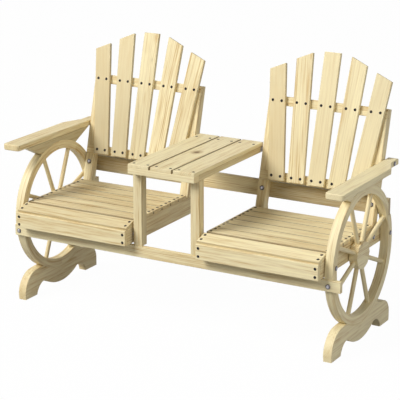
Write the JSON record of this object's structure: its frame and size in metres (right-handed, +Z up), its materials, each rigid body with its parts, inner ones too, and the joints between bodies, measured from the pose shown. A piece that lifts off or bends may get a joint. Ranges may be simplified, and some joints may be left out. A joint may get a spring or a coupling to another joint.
{
  "type": "two-seat garden bench with middle table",
  "caption": "Pine garden bench with two fan-backed slatted seats, a small table between them and a fixed spoked wheel under each armrest.",
  "frame": {"origin": "On the ground, under the middle of the bench's overall box.", "axes": "+X runs along the bench to its right-hand seat as seen from the front, +Y from the front to the back, +Z up."},
  "size_m": [1.474, 0.633, 1.0211],
  "materials": {
    "pine": "clear satin lacquer over planed pine",
    "pine_hub": "clear satin lacquer over darker pine",
    "beech": "raw fluted dowel rod",
    "dark_steel": "dark brown passivated screws",
    "zinc_steel": "dull zinc plating"
  },
  "bodies": {
    "root": {"left_seat_apron": "pine", "left_front_seat_slat": "pine", "left_seat_slats": "pine", "left_inner_side_rail": "pine", "left_outer_side_rail": "pine", "left_inner_post": "pine", "left_outer_post": "pine", "left_upper_cross_rail": "pine", "left_lower_cross_rail": "pine", "left_back_slat_1": "pine", "left_back_slat_2": "pine", "left_back_slat_3": "pine", "left_back_slat_4": "pine", "left_back_slat_5": "pine", "left_rim_front": "pine", "left_rim_rear": "pine", "left_hub_upper": "pine_hub", "left_hub_lower": "pine_hub", "left_spokes": "pine", "left_arm_support": "pine", "left_armrest": "pine", "left_foot_board": "pine", "right_seat_apron": "pine", "right_front_seat_slat": "pine", "right_seat_slats": "pine", "right_inner_side_rail": "pine", "right_outer_side_rail": "pine", "right_inner_post": "pine", "right_outer_post": "pine", "right_upper_cross_rail": "pine", "right_lower_cross_rail": "pine", "right_back_slat_1": "pine", "right_back_slat_2": "pine", "right_back_slat_3": "pine", "right_back_slat_4": "pine", "right_back_slat_5": "pine", "right_rim_front": "pine", "right_rim_rear": "pine", "right_hub_upper": "pine_hub", "right_hub_lower": "pine_hub", "right_spokes": "pine", "right_arm_support": "pine", "right_armrest": "pine", "right_foot_board": "pine", "table_slat_left": "pine", "table_slat_middle": "pine", "table_slat_right": "pine", "table_front_bearer": "pine", "table_rear_bearer": "pine", "table_left_apron": "pine", "table_right_apron": "pine", "table_left_leg": "pine", "table_right_leg": "pine", "front_rail": "pine", "rear_rail": "pine", "wood_screws": "dark_steel", "domed_bolts": "zinc_steel", "bolt_nuts": "zinc_steel", "spacers": "zinc_steel", "joint_dowels": "beech"}
  },
  "joints": []
}
